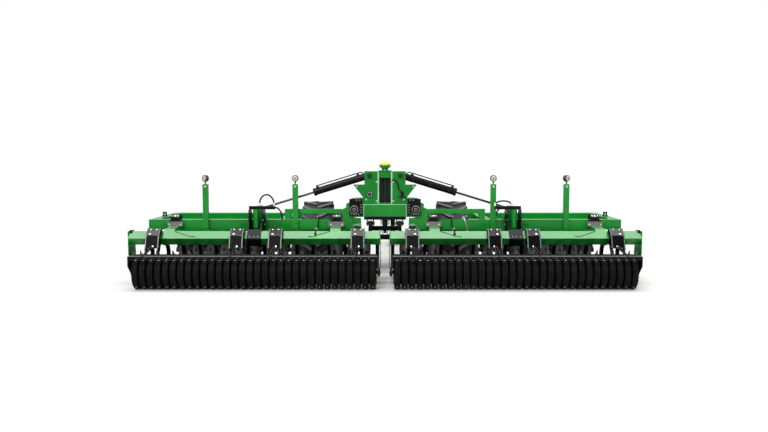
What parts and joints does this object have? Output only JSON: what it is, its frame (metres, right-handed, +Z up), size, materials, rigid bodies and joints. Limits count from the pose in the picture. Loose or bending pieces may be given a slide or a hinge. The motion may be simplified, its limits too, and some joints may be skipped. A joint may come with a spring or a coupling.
{
  "type": "folding high-speed disc harrow",
  "caption": "Towed folding disc harrow with dished discs on curved arms, packer rollers, a fold mast with cylinders, transport wheels and a drawbar with a jack.",
  "frame": {"origin": "on the ground below the middle of the machine's box", "axes": "+X to the right seen from behind, +Y forward towards the hitch, +Z up"},
  "size_m": [7.924, 6.965, 1.888],
  "materials": {
    "green_paint": "gloss green paint",
    "black_paint": "satin black paint",
    "plain_steel": "plain steel",
    "rod_chrome": "chromed rod",
    "disc_steel": "dark blade steel",
    "roller_rubber": "black rubber",
    "tyre": "black tyre",
    "rim_paint": "gloss yellow paint",
    "lamp_plastic": "amber and grey lamp",
    "hose_rubber": "hydraulic hose",
    "yellow_plastic": "gloss yellow"
  },
  "bodies": {
    "centre": {"centre_frame": "green_paint", "mast": "green_paint", "mast_hoses": "hose_rubber", "receiver_base": "green_paint", "receiver_cap": "yellow_plastic", "drawbar": "green_paint", "hitch_eye": "plain_steel", "jack_sleeve": "black_paint", "jack_leg": "plain_steel", "pins": "plain_steel", "hinge_covers": "black_paint"},
    "axle": {"axle": "black_paint"},
    "lift_barrel": {"lift_barrel": "black_paint"},
    "lift_rod": {"lift_rod": "rod_chrome"},
    "wing_left": {"wing_frame_left": "green_paint", "wing_lugs_left": "green_paint", "rear_toolbar_left": "green_paint", "front_toolbar_left": "green_paint", "arm_clamps_left": "black_paint", "rear_disc_arms_left": "black_paint", "front_disc_arms_left": "black_paint", "rear_discs_left": "disc_steel", "front_discs_left": "disc_steel", "side_shields_left": "green_paint", "lamp_posts_left": "green_paint", "lamps_left": "lamp_plastic", "roller_arms_left": "black_paint", "roller_frame_left": "black_paint", "depth_unit_left": "black_paint", "depth_cylinder_left": "green_paint", "depth_hoses_left": "hose_rubber"},
    "roller_left": {"roller_left": "roller_rubber"},
    "wheel_left": {"wheel_left": "rim_paint", "tyre_left": "tyre"},
    "fold_barrel_left": {"fold_barrel_left": "black_paint"},
    "fold_rod_left": {"fold_rod_left": "rod_chrome"},
    "wing_right": {"wing_frame_right": "green_paint", "wing_lugs_right": "green_paint", "rear_toolbar_right": "green_paint", "front_toolbar_right": "green_paint", "arm_clamps_right": "black_paint", "rear_disc_arms_right": "black_paint", "front_disc_arms_right": "black_paint", "rear_discs_right": "disc_steel", "front_discs_right": "disc_steel", "side_shields_right": "green_paint", "lamp_posts_right": "green_paint", "lamps_right": "lamp_plastic", "roller_arms_right": "black_paint", "roller_frame_right": "black_paint", "depth_unit_right": "black_paint", "depth_cylinder_right": "green_paint", "depth_hoses_right": "hose_rubber"},
    "roller_right": {"roller_right": "roller_rubber"},
    "wheel_right": {"wheel_right": "rim_paint", "tyre_right": "tyre"},
    "fold_barrel_right": {"fold_barrel_right": "black_paint"},
    "fold_rod_right": {"fold_rod_right": "rod_chrome"}
  },
  "joints": [
    {"name": "axle_lift", "type": "hinge", "parent": "centre", "child": "axle", "pos_m": [0, -0.8125, 0.78], "axis": [-1, 0, 0], "range_deg": [0, 11.4]},
    {"name": "lift_barrel_swing", "type": "hinge", "parent": "centre", "child": "lift_barrel", "pos_m": [0, -2.0825, 0.96], "axis": [1, 0, 0], "range_deg": [0, 14.3]},
    {"name": "lift_rod_slide", "type": "slide", "parent": "lift_barrel", "child": "lift_rod", "axis": [0, 0.9011, -0.4336], "range_m": [-0.0481, 0]},
    {"name": "wing_left_fold", "type": "hinge", "parent": "centre", "child": "wing_left", "pos_m": [-0.492, -2.2675, 1.128], "axis": [0, 1, 0], "range_deg": [0, 85]},
    {"name": "fold_barrel_left_swing", "type": "hinge", "parent": "centre", "child": "fold_barrel_left", "pos_m": [-0.245, -2.2675, 1.677], "axis": [0, 1, 0], "range_deg": [0, 86.05]},
    {"name": "fold_rod_left_slide", "type": "slide", "parent": "fold_barrel_left", "child": "fold_rod_left", "axis": [-0.9561, 0, -0.2932], "range_m": [-0.8136, 0]},
    {"name": "roller_left_spin", "type": "hinge", "parent": "wing_left", "child": "roller_left", "pos_m": [-1.9, -3.1925, 0.25], "axis": [1, 0, 0], "continuous": true},
    {"name": "wheel_left_spin", "type": "hinge", "parent": "axle", "child": "wheel_left", "pos_m": [-1.12, -1.5525, 0.61], "axis": [1, 0, 0], "continuous": true},
    {"name": "wing_right_fold", "type": "hinge", "parent": "centre", "child": "wing_right", "pos_m": [0.492, -2.2675, 1.128], "axis": [0, -1, 0], "range_deg": [0, 85]},
    {"name": "fold_barrel_right_swing", "type": "hinge", "parent": "centre", "child": "fold_barrel_right", "pos_m": [0.245, -2.2675, 1.677], "axis": [0, -1, 0], "range_deg": [0, 86.05]},
    {"name": "fold_rod_right_slide", "type": "slide", "parent": "fold_barrel_right", "child": "fold_rod_right", "axis": [0.9561, 0, -0.2932], "range_m": [-0.8136, 0]},
    {"name": "roller_right_spin", "type": "hinge", "parent": "wing_right", "child": "roller_right", "pos_m": [1.9, -3.1925, 0.25], "axis": [1, 0, 0], "continuous": true},
    {"name": "wheel_right_spin", "type": "hinge", "parent": "axle", "child": "wheel_right", "pos_m": [1.12, -1.5525, 0.61], "axis": [1, 0, 0], "continuous": true}
  ],
  "couplings": [
    {"joint": "lift_barrel_swing", "follows": "axle_lift", "ratio": 1.2499},
    {"joint": "lift_rod_slide", "follows": "axle_lift", "m_per_rad": -0.23939},
    {"joint": "fold_barrel_left_swing", "follows": "wing_left_fold", "ratio": 1.0117},
    {"joint": "fold_rod_left_slide", "follows": "wing_left_fold", "m_per_rad": -0.54807},
    {"joint": "fold_barrel_right_swing", "follows": "wing_right_fold", "ratio": 1.0117},
    {"joint": "fold_rod_right_slide", "follows": "wing_right_fold", "m_per_rad": -0.54807}
  ]
}
